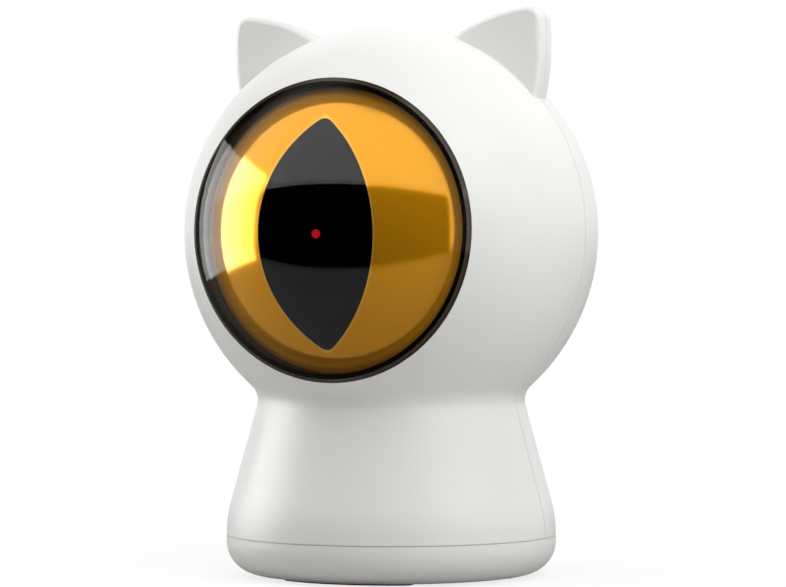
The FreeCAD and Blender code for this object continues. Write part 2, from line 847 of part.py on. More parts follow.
def make_retainer():
    centre = Vector(0, -retainer_back, head_z)
    ring = rod(eye_flange_radius, centre, FORWARD, retainer_wall)
    within = Part.makeSphere(inner_radius - lip_gap, Vector(0, 0, head_z))
    ears = [rod(boss_radius, Vector(x, -retainer_back, z), FORWARD, retainer_wall).common(within)
            for x, z in eye_screw_places()]
    ring = join([ring] + ears).cut(rod(eye_bore_radius, centre, FORWARD, retainer_wall))
    for x, z in eye_screw_places():
        ring = ring.cut(rod(chassis_screw_radius + running_gap, Vector(x, -retainer_back, z), FORWARD,
                            retainer_wall))
    return ring


def make_eye_screws():
    return group([screw(Vector(x, -retainer_back, z), FORWARD, chassis_screw_radius, eye_screw_length,
                        *small_screw_head) for x, z in eye_screw_places()])


# ------------------------------------------------------------------ gears
def gear_blank(teeth, width, bore):
    """Involute spur gear about +Z at the origin, with a tooth centred on +X."""
    alpha = math.radians(pressure_angle)
    pitch = gear_module * teeth / 2
    base = pitch * math.cos(alpha)
    tip = pitch + 0.85 * gear_module
    root = pitch - 1.2 * gear_module

    def involute(radius):
        turn = math.acos(min(1.0, base / radius))
        return math.tan(turn) - turn

    half_tooth = math.pi / (2 * teeth) - gear_backlash / (2 * pitch) + involute(pitch)
    start = max(base, root)
    flank = [root] if root < base else []
    flank += [start, (start + pitch) / 2, pitch, (pitch + tip) / 2, tip]
    points = []
    for tooth in range(teeth):
        centre = 2 * math.pi * tooth / teeth
        rising = [(radius, centre - half_tooth + involute(max(radius, base))) for radius in flank]
        falling = [(radius, 2 * centre - angle) for radius, angle in reversed(rising)]
        points += [Vector(r * math.cos(a), r * math.sin(a), 0) for r, a in rising + falling]
    points.append(points[0])
    blank = Part.Face(Part.makePolygon(points)).extrude(Vector(0, 0, width))
    return blank.cut(rod(bore, Vector(0, 0, 0), Z_AXIS, width))


def make_pan_gear():
    gear = gear_blank(pan_gear_teeth, gear_width, pan_shaft_radius + seat_gap)
    gear.Placement = Placement(Vector(0, pan_axis_y, pan_gear_bottom), Rotation(Z_AXIS, 90))
    return gear


def make_pan_pinion():
    gear = gear_blank(pinion_teeth, gear_width, motor_shaft_radius + seat_gap)
    gear.Placement = Placement(Vector(0, pan_motor_y, pan_gear_bottom),
                               Rotation(Z_AXIS, 270 + 180 / pinion_teeth))
    return gear


def make_tilt_gear():
    """Toothed sector behind a round hub."""
    full = gear_blank(tilt_gear_teeth, tilt_gear_width, tilt_shaft_radius + seat_gap)
    reach = gear_module * tilt_gear_teeth
    wedge = Part.makeCylinder(reach, tilt_gear_width, Vector(0, 0, 0), Z_AXIS, sector_angle)
    wedge.rotate(Vector(0, 0, 0), Z_AXIS, -sector_angle / 2)
    hub = pipe(trunnion_radius, tilt_shaft_radius + seat_gap, Vector(0, 0, 0), Z_AXIS, tilt_gear_width)
    sector = full.common(wedge).fuse(hub).removeSplitter()
    sector.Placement = Placement(Vector(tilt_gear_x, pan_axis_y, laser_z), TO_X_AXIS)
    return sector


def make_tilt_pinion():
    gear = gear_blank(pinion_teeth, tilt_gear_width, motor_shaft_radius + seat_gap)
    gear.rotate(Vector(0, 0, 0), Z_AXIS, 180 + 180 / pinion_teeth)
    gear.Placement = Placement(Vector(tilt_gear_x, tilt_motor_y, laser_z),
                               TO_X_AXIS).multiply(gear.Placement)
    return gear


# ------------------------------------------------------------------ gear motors
def placed(shape, place):
    moved = shape.copy()
    moved.Placement = place.multiply(moved.Placement)
    return moved


def gearbox_blank():
    """Gear head of a small gear motor, its shaft along +Z and its face at the origin."""
    body = box(-motor_width / 2, motor_width / 2, -motor_depth / 2, motor_depth / 2, -gearbox_length, 0)
    uprights = [edge for edge in body.Edges
                if abs(edge.Vertexes[0].Point.z - edge.Vertexes[-1].Point.z) > gearbox_length / 2]
    body = body.makeFillet(motor_corner_round, uprights)
    boss = rod(motor_boss_radius, Vector(0, 0, 0), Z_AXIS, motor_boss_height)
    body = body.fuse(boss)
    body = body.cut(rod(motor_shaft_radius + running_gap, Vector(0, 0, -motor_bore_depth), Z_AXIS,
                        motor_bore_depth + motor_boss_height))
    for side in (-1, 1):
        body = body.cut(rod(motor_screw_radius + seat_gap, Vector(side * motor_screw_offset, 0,
                                                                  -motor_screw_hole),
                            Z_AXIS, motor_screw_hole))
    return body.removeSplitter()


def motor_can_blank():
    """Round can with two flats, end cap and two solder tags behind the gear head."""
    start = Vector(0, 0, -gearbox_length - motor_can_length)
    flats = box(-FAR, FAR, -motor_depth / 2, motor_depth / 2, -FAR, FAR)
    can = rod(motor_width / 2, start, Z_AXIS, motor_can_length).common(flats)
    cap_low = start.z - motor_cap_height
    cap = rod(motor_width / 2 - motor_cap_inset, Vector(0, 0, cap_low), Z_AXIS,
              motor_cap_height).common(flats)
    wide, deep, length = motor_tag
    tags = [box(x - wide / 2, x + wide / 2, -deep / 2, deep / 2, cap_low - length, start.z)
            for x in (-motor_tag_offset, motor_tag_offset)]
    return join([can, cap] + tags)


def motor_shaft_blank(length):
    return rod(motor_shaft_radius, Vector(0, 0, -motor_bore_depth + axial_play), Z_AXIS,
               motor_bore_depth - axial_play + length)


def motor_screws_blank(seat):
    return group([screw(Vector(side * motor_screw_offset, 0, seat), Vector(0, 0, -1), motor_screw_radius,
                        seat + motor_screw_grip, *motor_screw_head) for side in (-1, 1)])


def motor_face_holes(plate_wall):
    """Holes for the shaft boss and the two sunk screws through the plate that carries a motor."""
    head_sink = plate_wall - motor_screw_head[1] - axial_play
    cuts = [rod(motor_boss_radius + button_gap, Vector(0, 0, -wall), Z_AXIS, plate_wall + 2 * wall)]
    for side in (-1, 1):
        place = Vector(side * motor_screw_offset, 0, 0)
        cuts.append(rod(motor_screw_radius + running_gap, place, Z_AXIS, plate_wall + wall))
        cuts.append(rod(motor_screw_head[0] + running_gap, place + Vector(0, 0, head_sink), Z_AXIS,
                        plate_wall))
    return join(cuts)


# ------------------------------------------------------------------ pan and tilt carriage
def cheek(x0, x1, rear, top):
    """Upright cheek of the yoke around the tilt axis, with a rear part for the motor face."""
    shapes = [
        rod(cheek_radius, Vector(x0, pan_axis_y, laser_z), X_AXIS, x1 - x0),
        box(x0, x1, pan_axis_y - cheek_radius, pan_axis_y + cheek_radius, yoke_bottom, laser_z),
    ]
    if rear:
        shapes.append(box(x0, x1, pan_axis_y, rear, yoke_bottom, top))
    return join(shapes)


def make_yoke():
    motor_half = motor_width / 2
    disc = rod(cheek_outer, Vector(0, pan_axis_y, yoke_bottom), Z_AXIS, yoke_floor)
    tray = box(carriage_left, cheek_outer, pan_axis_y, carriage_rear, yoke_bottom, yoke_top)
    cradle = box(carriage_left, cheek_inner - gearbox_length - cradle_wall, carriage_front, carriage_rear,
                 yoke_bottom, laser_z - motor_half / 2)
    can_space = rod(motor_half + running_gap, Vector(-FAR, tilt_motor_y, laser_z), X_AXIS, 2 * FAR)
    hub = rod(bush_radius + running_gap, Vector(0, pan_axis_y, yoke_bottom), Z_AXIS,
              yoke_floor + yoke_hub_height)
    yoke = join([
        disc,
        tray,
        cradle.cut(can_space),
        cheek(cheek_inner, cheek_outer, carriage_rear, laser_z + motor_half),
        cheek(-cheek_outer, -cheek_inner, None, None),
        hub,
    ])
    yoke = yoke.cut(rod(pan_shaft_radius + seat_gap, Vector(0, pan_axis_y, yoke_bottom), Z_AXIS,
                        yoke_floor + yoke_hub_height - shaft_socket_roof))
    yoke = yoke.cut(rod(tilt_bush_radius + seat_gap, Vector(-FAR, pan_axis_y, laser_z), X_AXIS, 2 * FAR))
    return yoke.cut(placed(motor_face_holes(cheek_wall), tilt_motor_place)).removeSplitter()


def make_pan_shaft():
    low = deck_bottom - bush_extra - clip_room
    top = yoke_top + yoke_hub_height - shaft_socket_roof - axial_play
    shaft = rod(pan_shaft_radius, Vector(0, pan_axis_y, low), Z_AXIS, top - low)
    groove_z = deck_bottom - bush_extra - axial_play - clip_wall - seat_gap
    groove = pipe(FAR, clip_groove_radius, Vector(0, pan_axis_y, groove_z), Z_AXIS,
                  clip_wall + 2 * seat_gap)
    return shaft.cut(groove)


def make_pan_clip():
    """Open retaining clip in the groove at the foot of the pan shaft."""
    centre = Vector(0, pan_axis_y, deck_bottom - bush_extra - axial_play - clip_wall)
    ring = pipe(clip_radius, clip_groove_radius + seat_gap, centre, Z_AXIS, clip_wall)
    mouth = clip_groove_radius * 0.9
    return ring.cut(box(-mouth, mouth, centre.y, centre.y + FAR, centre.z, centre.z + clip_wall))


def make_pan_bush():
    low = Vector(0, pan_axis_y, deck_bottom - bush_extra)
    outer = rod(bush_radius, low, Z_AXIS, bush_extra + deck_wall)
    flange = rod(bush_flange, low, Z_AXIS, bush_extra)
    bore = rod(pan_shaft_radius + running_gap, low, Z_AXIS, bush_extra + deck_wall)
    return outer.fuse(flange).cut(bore).removeSplitter()


def make_thrust_washer():
    return pipe(bush_flange, pan_shaft_radius + running_gap, Vector(0, pan_axis_y, deck_top), Z_AXIS,
                washer_wall)


def make_tilt_bushes():
    flange_start = cheek_inner - tilt_bush_flange_wall
    length = cheek_wall + tilt_bush_flange_wall
    start = Vector(flange_start, pan_axis_y, laser_z)
    bush = rod(tilt_bush_radius, start, X_AXIS, length)
    bush = bush.fuse(rod(tilt_bush_flange, start, X_AXIS, tilt_bush_flange_wall))
    bush = bush.cut(rod(tilt_shaft_radius + running_gap, start, X_AXIS, length)).removeSplitter()
    return group([bush, mirror_x(bush)])


def make_tilt_shaft():
    start = Vector(-cheek_outer - tilt_shaft_proud, pan_axis_y, laser_z)
    return rod(tilt_shaft_radius, start, X_AXIS, tilt_gear_x + tilt_gear_width + tilt_shaft_end - start.x)


def make_laser_holder():
    front = pan_axis_y - holder_front
    back = pan_axis_y + holder_back
    block = box(-holder_half_width, holder_half_width, front, back,
                laser_z - holder_half_height, laser_z + holder_half_height)
    long_edges = [edge for edge in block.Edges
                  if abs(edge.Vertexes[0].Point.y - edge.Vertexes[-1].Point.y) > holder_front / 2]
    block = block.makeFillet(1.5, long_edges)
    trunnion = rod(trunnion_radius, Vector(-trunnion_reach, pan_axis_y, laser_z), X_AXIS,
                   2 * trunnion_reach)
    holder = block.fuse(trunnion)
    barrel_back = pan_axis_y - barrel_front + barrel_length
    holder = holder.cut(rod(barrel_radius + seat_gap, Vector(0, barrel_back + pin_room, laser_z),
                            FORWARD, FAR))
    holder = holder.cut(rod(tilt_shaft_radius + seat_gap, Vector(-FAR, pan_axis_y, laser_z), X_AXIS,
                            2 * FAR))
    return holder.cut(rod(set_screw_radius + seat_gap, set_screw_place(), Z_AXIS, FAR)).removeSplitter()


def set_screw_place():
    return Vector(0, pan_axis_y - holder_front + set_screw_setback, laser_z)


def make_set_screw():
    top = laser_z + holder_half_height + set_screw_proud
    low = laser_z + barrel_radius + seat_gap
    place = set_screw_place()
    body = rod(set_screw_radius, Vector(place.x, place.y, low), Z_AXIS, top - low)
    slot = box(-FAR, FAR, place.y - set_screw_slot / 2, place.y + set_screw_slot / 2,
               top - set_screw_slot_depth, top)
    return body.cut(slot)


def barrel_back_y():
    return pan_axis_y - barrel_front + barrel_length


def make_laser_barrel():
    back = Vector(0, barrel_back_y(), laser_z)
    front = Vector(0, pan_axis_y - barrel_front, laser_z)
    barrel = rod(barrel_radius, back, FORWARD, barrel_length)
    barrel = barrel.cut(rod(diode_flange_radius - barrel_bore_lip, back, FORWARD, barrel_length))
    barrel = barrel.cut(rod(diode_flange_radius + seat_gap, back, FORWARD, diode_flange_wall))
    barrel = barrel.cut(rod(barrel_mouth_radius, front, Y_AXIS, barrel_mouth_depth))
    return barrel.removeSplitter()


def make_laser_diode():
    """Can-type diode with its flange in the back of the barrel and three leads."""
    back = Vector(0, barrel_back_y(), laser_z)
    flange = rod(diode_flange_radius, back, FORWARD, diode_flange_wall)
    cap = rod(diode_cap_radius, back, FORWARD, diode_flange_wall + diode_cap_height)
    leads = []
    for degrees in foot_angles:
        spread = polar(diode_lead_circle, degrees)
        leads.append(rod(diode_lead_radius, back + Vector(spread.x, 0, spread.y), Y_AXIS,
                         diode_lead_length))
    return join([flange, cap] + leads)


def make_laser_lens():
    seat = Vector(0, pan_axis_y - barrel_front + barrel_mouth_depth, laser_z)
    flange = rod(barrel_mouth_radius - seat_gap, seat, FORWARD, lens_flange_wall)
    nub_length = barrel_mouth_depth + lens_nub_proud
    nub = rod(laser_dot_radius, seat, FORWARD, nub_length)
    dome_radius = 2 * laser_dot_radius
    dome_centre = seat + FORWARD * (nub_length - dome_radius)
    nub = nub.common(Part.makeSphere(dome_radius, dome_centre))
    return flange.fuse(nub).removeSplitter()


def make_lens_ring():
    start = Vector(0, pan_axis_y - barrel_front + barrel_mouth_depth - lens_flange_wall, laser_z)
    return pipe(barrel_mouth_radius - seat_gap, laser_dot_radius + seat_gap, start, FORWARD, lens_ring_wall)


# ------------------------------------------------------------------ chassis
def make_chassis():
    y0 = chassis_plate_y
    y1 = chassis_plate_y + chassis_plate_wall
    shapes = [box(-chassis_plate_half_width, chassis_plate_half_width, y0, y1, deck_bottom,
                  head_z + board_high + wall)]
    for sz in (-1, 1):
        z = head_z + sz * chassis_screw_z
        shapes.append(box(-chassis_screw_x, chassis_screw_x, y0, y1, z - chassis_bar_half_height,
                          z + chassis_bar_half_height))
    for x, z in chassis_screw_places():
        shapes.append(rod(chassis_bar_half_height, Vector(x, y0, z), Y_AXIS, chassis_plate_wall))
    deck_front = pan_axis_y - bush_flange - deck_nose
    shapes.append(box(-deck_half_width, deck_half_width, deck_front, y1, deck_bottom, deck_top))
    for side in (-1, 1):
        rib_x = side * (deck_half_width - rib_wall / 2)
        shapes.append(box(rib_x - rib_wall / 2, rib_x + rib_wall / 2, y0 - rib_length, y0, deck_bottom,
                          yoke_bottom - rib_top_gap))
    for x, z in board_screw_places():
        shapes.append(rod(standoff_radius, Vector(x, y1, z), Y_AXIS, board_standoff))
    chassis = join(shapes)
    window = chassis_window
    chassis = chassis.cut(box(-window, window, y0, y1, head_z - window / 2, head_z + window))
    chassis = chassis.cut(rod(bush_radius + seat_gap, Vector(0, pan_axis_y, deck_bottom), Z_AXIS,
                              deck_wall))
    chassis = chassis.cut(placed(motor_face_holes(deck_wall), pan_motor_place))
    for x, z in chassis_screw_places():
        chassis = chassis.cut(rod(chassis_screw_radius + running_gap, Vector(x, y0, z), Y_AXIS,
                                  chassis_plate_wall))
    for x, z in board_screw_places():
        chassis = chassis.cut(rod(chassis_screw_radius + seat_gap, Vector(x, y0, z), Y_AXIS, FAR))
    return chassis.removeSplitter()


def board_screw_places():
    low = head_z + board_low + board_screw_inset
    high = head_z + board_high - board_screw_inset
    return [(side * board_screw_x, z) for side in (-1, 1) for z in (low, high)]


def make_chassis_screws():
    seat_y = chassis_plate_y + chassis_plate_wall
    return group([screw(Vector(x, seat_y, z), FORWARD, chassis_screw_radius, chassis_screw_length,
                        *small_screw_head) for x, z in chassis_screw_places()])


# ------------------------------------------------------------------ main board
def make_main_board():
    board = box(-board_half_width, board_half_width, main_board_y, main_board_back,
                head_z + board_low, head_z + board_high)
    for x, z in board_screw_places():
        board = board.cut(rod(chassis_screw_radius + running_gap, Vector(x, main_board_y, z), Y_AXIS,
                              board_wall))
    return board


def make_main_board_screws():
    return group([screw(Vector(x, main_board_back, z), FORWARD, chassis_screw_radius,
                        board_wall + board_standoff + board_screw_grip, *small_screw_head)
                  for x, z in board_screw_places()])


def make_controller_chip():
    """Square controller package with a row of leads on two sides."""
    half = chip_half_width
    z = head_z + chip_up
    body = box(-half, half, main_board_back, main_board_back + chip_height, z - half, z + half)
    leads = []
    for index in range(chip_lead_count):
        lead_z = z - half + (index + 0.5) * 2 * half / chip_lead_count
        for side in (-1, 1):
            inner, outer = sorted((side * half, side * (half + chip_lead_length)))
            leads.append(box(inner, outer, main_board_back, main_board_back + chip_height / 3,
                             lead_z - chip_lead_width / 2, lead_z + chip_lead_width / 2))
    return join([body] + leads)


def make_capacitors():
    return group([rod(capacitor_radius, Vector(x, main_board_back, head_z + z), Y_AXIS, capacitor_length)
                  for x, z in capacitor_places])


def make_wire_headers():
    """Shrouded headers for the two motors, the laser and the battery."""
    headers = []
    wide, deep, high = [size / 2 for size in header_size]
    back = main_board_back + header_size[1]
    z = head_z - header_drop
    pin = header_pin / 2
    for x in header_places:
        shroud = box(x - wide, x + wide, main_board_back, back, z - high, z + high)
        shroud = shroud.cut(box(x - wide + header_wall, x + wide - header_wall,
                                main_board_back + header_floor,
                                back, z - high + header_wall, z + high - header_wall))
        pins = [box(x + shift - pin, x + shift + pin, main_board_back, back - header_wall, z - pin, z + pin)
                for shift in (-header_pitch / 2, header_pitch / 2)]
        headers.append(join([shroud] + pins))
    return group(headers)


# ------------------------------------------------------------------ battery bay and cells
def make_battery_bay():
    tubes = []
    bores = []
    foot_z = floor_top + contact_wall + lip_gap
    for degrees in cell_angles:
        centre = polar(cell_circle, degrees, foot_z)
        tubes.append(rod(bay_tube_radius, centre, Z_AXIS, bay_top - foot_z))
        bores.append(rod(cell_radius + cell_gap, centre, Z_AXIS, bay_top - bay_roof - foot_z))
    arms = [trilobe(bay_tube_radius, seam_z - bay_flange, seam_z)]
    for degrees in foot_angles:
        arm = box(0, base_screw_circle, -pillar_radius, pillar_radius, seam_z - bay_flange, seam_z)
        arms.append(turned_about_z(arm, degrees))
        arms.append(rod(pillar_radius, polar(base_screw_circle, degrees, seam_z - bay_flange), Z_AXIS,
                        bay_flange))
    post_low = floor_top + door_boss_height
    post_high = post_low + door_screw_length
    post = rod(door_post_radius, Vector(0, 0, post_low), Z_AXIS, post_high - post_low + bay_roof)
    bay = join(tubes + arms + [post])
    for bore in bores:
        bay = bay.cut(bore)
    for degrees in foot_angles:
        bay = bay.cut(rod(base_screw_radius + running_gap, polar(base_screw_circle, degrees, 0), Z_AXIS,
                          FAR))
    bay = bay.cut(rod(door_screw_radius + seat_gap, Vector(0, 0, post_low), Z_AXIS, door_screw_length))
    return bay.removeSplitter()


def make_cells():
    """Three cells; the middle one of the chain stands the other way up."""
    cells = []
    for index, degrees in enumerate(cell_angles):
        centre = polar(cell_circle, degrees, cell_bottom)
        body_low = cell_nub_height if index == 1 else 0.0
        body = rod(cell_radius, centre + Vector(0, 0, body_low), Z_AXIS, cell_length - cell_nub_height)
        nub_low = 0.0 if index == 1 else cell_length - cell_nub_height
        nub = rod(cell_nub_radius, centre + Vector(0, 0, nub_low), Z_AXIS, cell_nub_height)
        cells.append(body.fuse(nub).removeSplitter())
    return group(cells)


def contact_pad(degrees, z):
    return rod(contact_pad_radius, polar(cell_circle, degrees, z), Z_AXIS, contact_wall)


def contact_bridge(first, second, z):
    """Sheet contact that joins two cell ends."""
    a, b = polar(cell_circle, first, z), polar(cell_circle, second, z)
    length = (b - a).Length
    strip = box(0, length, -contact_strip_width / 2, contact_strip_width / 2, 0, contact_wall)
    strip.Placement = Placement(a, Rotation(X_AXIS, b - a))
    return join([contact_pad(first, z), contact_pad(second, z), strip])


def make_door_contacts():
    return group([contact_bridge(cell_angles[0], cell_angles[1], floor_top),
                  contact_pad(cell_angles[2], floor_top)])


def make_bay_contacts():
    """One pad in the roof of each tube."""
    z = bay_top - bay_roof - contact_wall
    return group([contact_pad(degrees, z) for degrees in cell_angles])


def contact_leaf(degrees, z0, z1):
    """Arched leaf spring between a contact and a cell end."""
    rise = abs(z1 - z0)
    half = contact_leaf_length / 2
    width = contact_leaf_width
    radius = (half ** 2 + rise ** 2) / (2 * rise)
    up = 1 if z1 > z0 else -1
    ring = pipe(radius, radius - contact_leaf_wall, Vector(0, -width / 2, 0), Y_AXIS, width)
    slab = box(-half, half, -width, width, radius - rise, radius + rise)
    leaf = ring.common(slab)
    leaf.translate(Vector(0, 0, rise - radius))
    if up < 0:
        leaf = leaf.mirror(Vector(0, 0, 0), Z_AXIS)
    leaf.translate(polar(cell_circle, degrees, z0))
    return leaf


def make_contact_leaves():
    plate = floor_top + contact_wall
    roof = bay_top - bay_roof - contact_wall
    return group([
        contact_leaf(cell_angles[0], plate, cell_bottom),
        contact_leaf(cell_angles[1], plate, cell_bottom),
        contact_leaf(cell_angles[2], plate, cell_bottom),
        contact_leaf(cell_angles[0], roof, cell_bottom + cell_length),
        contact_leaf(cell_angles[1], roof, cell_bottom + cell_length),
        contact_leaf(cell_angles[2], roof, cell_bottom + cell_length),
    ])


# ------------------------------------------------------------------ rear controls
def make_control_board():
    places = control_screw_places()
    low = min(z for x, z in places) - control_board_margin
    high = max(z for x, z in places) + control_board_margin
    reach = flare_radius(high) - wall - control_board_edge_gap
    half_width = math.sqrt(reach ** 2 - control_board_back ** 2)
    board = box(-half_width, half_width, control_board_y, control_board_back, low, high)
    for x, z in places:
        board = board.cut(rod(control_screw_radius + running_gap, Vector(x, control_board_y, z), Y_AXIS,
                              control_board_wall))
    return board


def make_control_board_screws():
    return group([screw(Vector(x, control_board_y, z), Y_AXIS, control_screw_radius,
                        control_board_wall + control_screw_length - 2 * lip_gap, *control_screw_head)
                  for x, z in control_screw_places()])


def make_button_switch():
    body = box(-switch_half_width, switch_half_width, control_board_back,
               control_board_back + switch_height,
               button_z - switch_half_width, button_z + switch_half_width)
    bore_low = control_board_back + switch_height - plunger_sink - button_travel - axial_play
    bore_start = Vector(0, bore_low, button_z)
    return body.cut(rod(plunger_radius + running_gap, bore_start, Y_AXIS, FAR))


def make_switch_plunger():
    start = control_board_back + switch_height - plunger_sink
    return rod(plunger_radius, Vector(0, start, button_z), Y_AXIS, plunger_sink + plunger_proud)


def make_power_button():
    """Round key with two side ears that stop it behind the casing wall."""
    foot_y = control_board_back + switch_height + plunger_proud
    outer_y = flare_radius(button_z) + button_proud
    key = rod(button_radius, Vector(0, foot_y, button_z), Y_AXIS, outer_y - foot_y)
    rim = [edge for edge in key.Edges if edge.Length > button_radius and edge.CenterOfMass.y > outer_y - 0.1]
    key = key.makeFillet(button_edge_round, rim)
    reach = button_radius + button_ear_reach
    ears = box(-reach, reach, foot_y, foot_y + button_ear_wall, button_z - button_ear_wall,
               button_z + button_ear_wall)
    return key.fuse(ears).removeSplitter()


def make_status_led():
    place = light_pipe_place(control_board_back)
    wide, deep, high = led_size
    return box(place.x - wide / 2, place.x + wide / 2, place.y, place.y + deep, place.z - high / 2,
               place.z + high / 2)


def make_light_pipe():
    start = light_pipe_place(control_board_back + light_pipe_gap)
    return rod(light_pipe_radius, start, Y_AXIS, head_radius).common(body_solid(0))


def usb_mouth_y():
    return flare_radius(usb_z) - usb_recess


def make_usb_socket():
    """Rounded steel sleeve of the charging socket, closed at the back."""
    y0 = control_board_back
    length = usb_mouth_y() - y0
    return usb_block(0, y0, length).cut(usb_block(-usb_wall, y0 + usb_back_wall, length))


def make_usb_tongue():
    wide, thick = usb_tongue_size
    y0 = control_board_back + usb_back_wall
    y1 = usb_mouth_y() - usb_tongue_setback
    return box(-wide / 2, wide / 2, y0, y1, usb_z - thick / 2, usb_z + thick / 2)


# ------------------------------------------------------------------ build every node
def main():
    os.makedirs("parts", exist_ok=True)
    nodes = {
        "front_shell": make_front_shell(),
        "rear_shell": make_rear_shell(),
        "base_cover": make_base_cover(),
        "battery_door": make_battery_door(),
        "battery_door_screw": make_door_screw(),
        "rubber_feet": make_feet(),
        "base_screws": make_base_screws(),
        "shell_screws": make_shell_screws(),
        "eye_bezel": make_bezel(),
        "eye_lens": make_eye_lens(),
        "iris_dome": make_iris(),
        "pupil_window": make_pupil_window(),
        "eye_retainer": make_retainer(),
        "eye_screws": make_eye_screws(),
        "chassis": make_chassis(),
        "chassis_screws": make_chassis_screws(),
        "pan_gearbox": placed(gearbox_blank(), pan_motor_place),
        "pan_motor_can": placed(motor_can_blank(), pan_motor_place),
        "pan_motor_shaft": placed(motor_shaft_blank(deck_wall + washer_wall + axial_play + gear_width),
                                  pan_motor_place),
        "pan_motor_screws": placed(motor_screws_blank(deck_wall - motor_screw_head[1] - axial_play),
                                   pan_motor_place),
        "pan_pinion": make_pan_pinion(),
        "pan_bush": make_pan_bush(),
        "thrust_washer": make_thrust_washer(),
        "pan_yoke": make_yoke(),
        "pan_gear": make_pan_gear(),
        "pan_shaft": make_pan_shaft(),
        "pan_clip": make_pan_clip(),
        "tilt_gearbox": placed(gearbox_blank(), tilt_motor_place),
        "tilt_motor_can": placed(motor_can_blank(), tilt_motor_place),
        "tilt_motor_shaft": placed(motor_shaft_blank(tilt_gear_x - cheek_inner + tilt_gear_width),
                                   tilt_motor_place),
        "tilt_motor_screws": placed(motor_screws_blank(cheek_wall - motor_screw_head[1] - axial_play),
                                    tilt_motor_place),
        "tilt_pinion": make_tilt_pinion(),
        "tilt_bushes": make_tilt_bushes(),
        "laser_holder": make_laser_holder(),
        "tilt_shaft": make_tilt_shaft(),
        "tilt_gear": make_tilt_gear(),
        "laser_barrel": make_laser_barrel(),
        "laser_diode": make_laser_diode(),
        "laser_lens": make_laser_lens(),
        "laser_lens_ring": make_lens_ring(),
        "laser_set_screw": make_set_screw(),
        "main_board": make_main_board(),
        "main_board_screws": make_main_board_screws(),
        "controller_chip": make_controller_chip(),
        "board_capacitors": make_capacitors(),
        "wire_headers": make_wire_headers(),
        "battery_bay": make_battery_bay(),
        "battery_cells": make_cells(),
        "door_contacts": make_door_contacts(),
        "bay_contacts": make_bay_contacts(),
        "contact_leaves": make_contact_leaves(),
        "control_board": make_control_board(),
        "control_board_screws": make_control_board_screws(),
        "button_switch": make_button_switch(),
        "switch_plunger": make_switch_plunger(),
        "power_button": make_power_button(),
        "status_led": make_status_led(),
        "light_pipe": make_light_pipe(),
        "usb_socket": make_usb_socket(),
        "usb_tongue": make_usb_tongue(),
    }
    for name, shape in nodes.items():
        save(name, shape)


main()
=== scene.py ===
import json
import math

import bpy
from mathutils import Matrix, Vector

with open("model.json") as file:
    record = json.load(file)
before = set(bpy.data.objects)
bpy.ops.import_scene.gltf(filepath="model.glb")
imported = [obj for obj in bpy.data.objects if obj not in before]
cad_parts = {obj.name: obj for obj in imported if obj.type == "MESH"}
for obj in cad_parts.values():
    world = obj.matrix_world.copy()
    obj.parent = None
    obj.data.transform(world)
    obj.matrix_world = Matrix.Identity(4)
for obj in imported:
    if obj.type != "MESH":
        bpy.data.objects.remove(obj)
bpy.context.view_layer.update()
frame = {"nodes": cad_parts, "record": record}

scene = bpy.context.scene
scene.view_settings.view_transform = "Standard"

MM = 0.001
WHITE = (1, 1, 1)

# The eye. Its axis runs along Y through the head's centre, and radii are measured from it.
HEAD_Z = 79.18 * MM
LASER_Z = HEAD_Z - 0.9 * MM                 # height of the slit's middle
SLIT_ARC = 31.58 * MM                       # radius of the slit's two sides
SLIT_OFFSET = 17.73 * MM                    # from the middle to the centre of each side's arc
SLIT_HIGHLIGHT = (SLIT_ARC + 0.15 * MM, SLIT_ARC + 0.45 * MM)  # where the painted highlight along the slit's edge fades out
DOME_EDGE = (28.9 * MM, 30.3 * MM)          # where the polished dome turns soft
BEVEL_SHADE = (30.2 * MM, 31.8 * MM)              # where painted shade darkens the amber on the bevel
BEZEL_REFLECTION_FADE = (33.1 * MM, 33.8 * MM)         # where the painted amber reflection on the bezel fades to black

MIDDLE = (0.3, 0.7)                         # the part of a noise's range that is stretched to full contrast


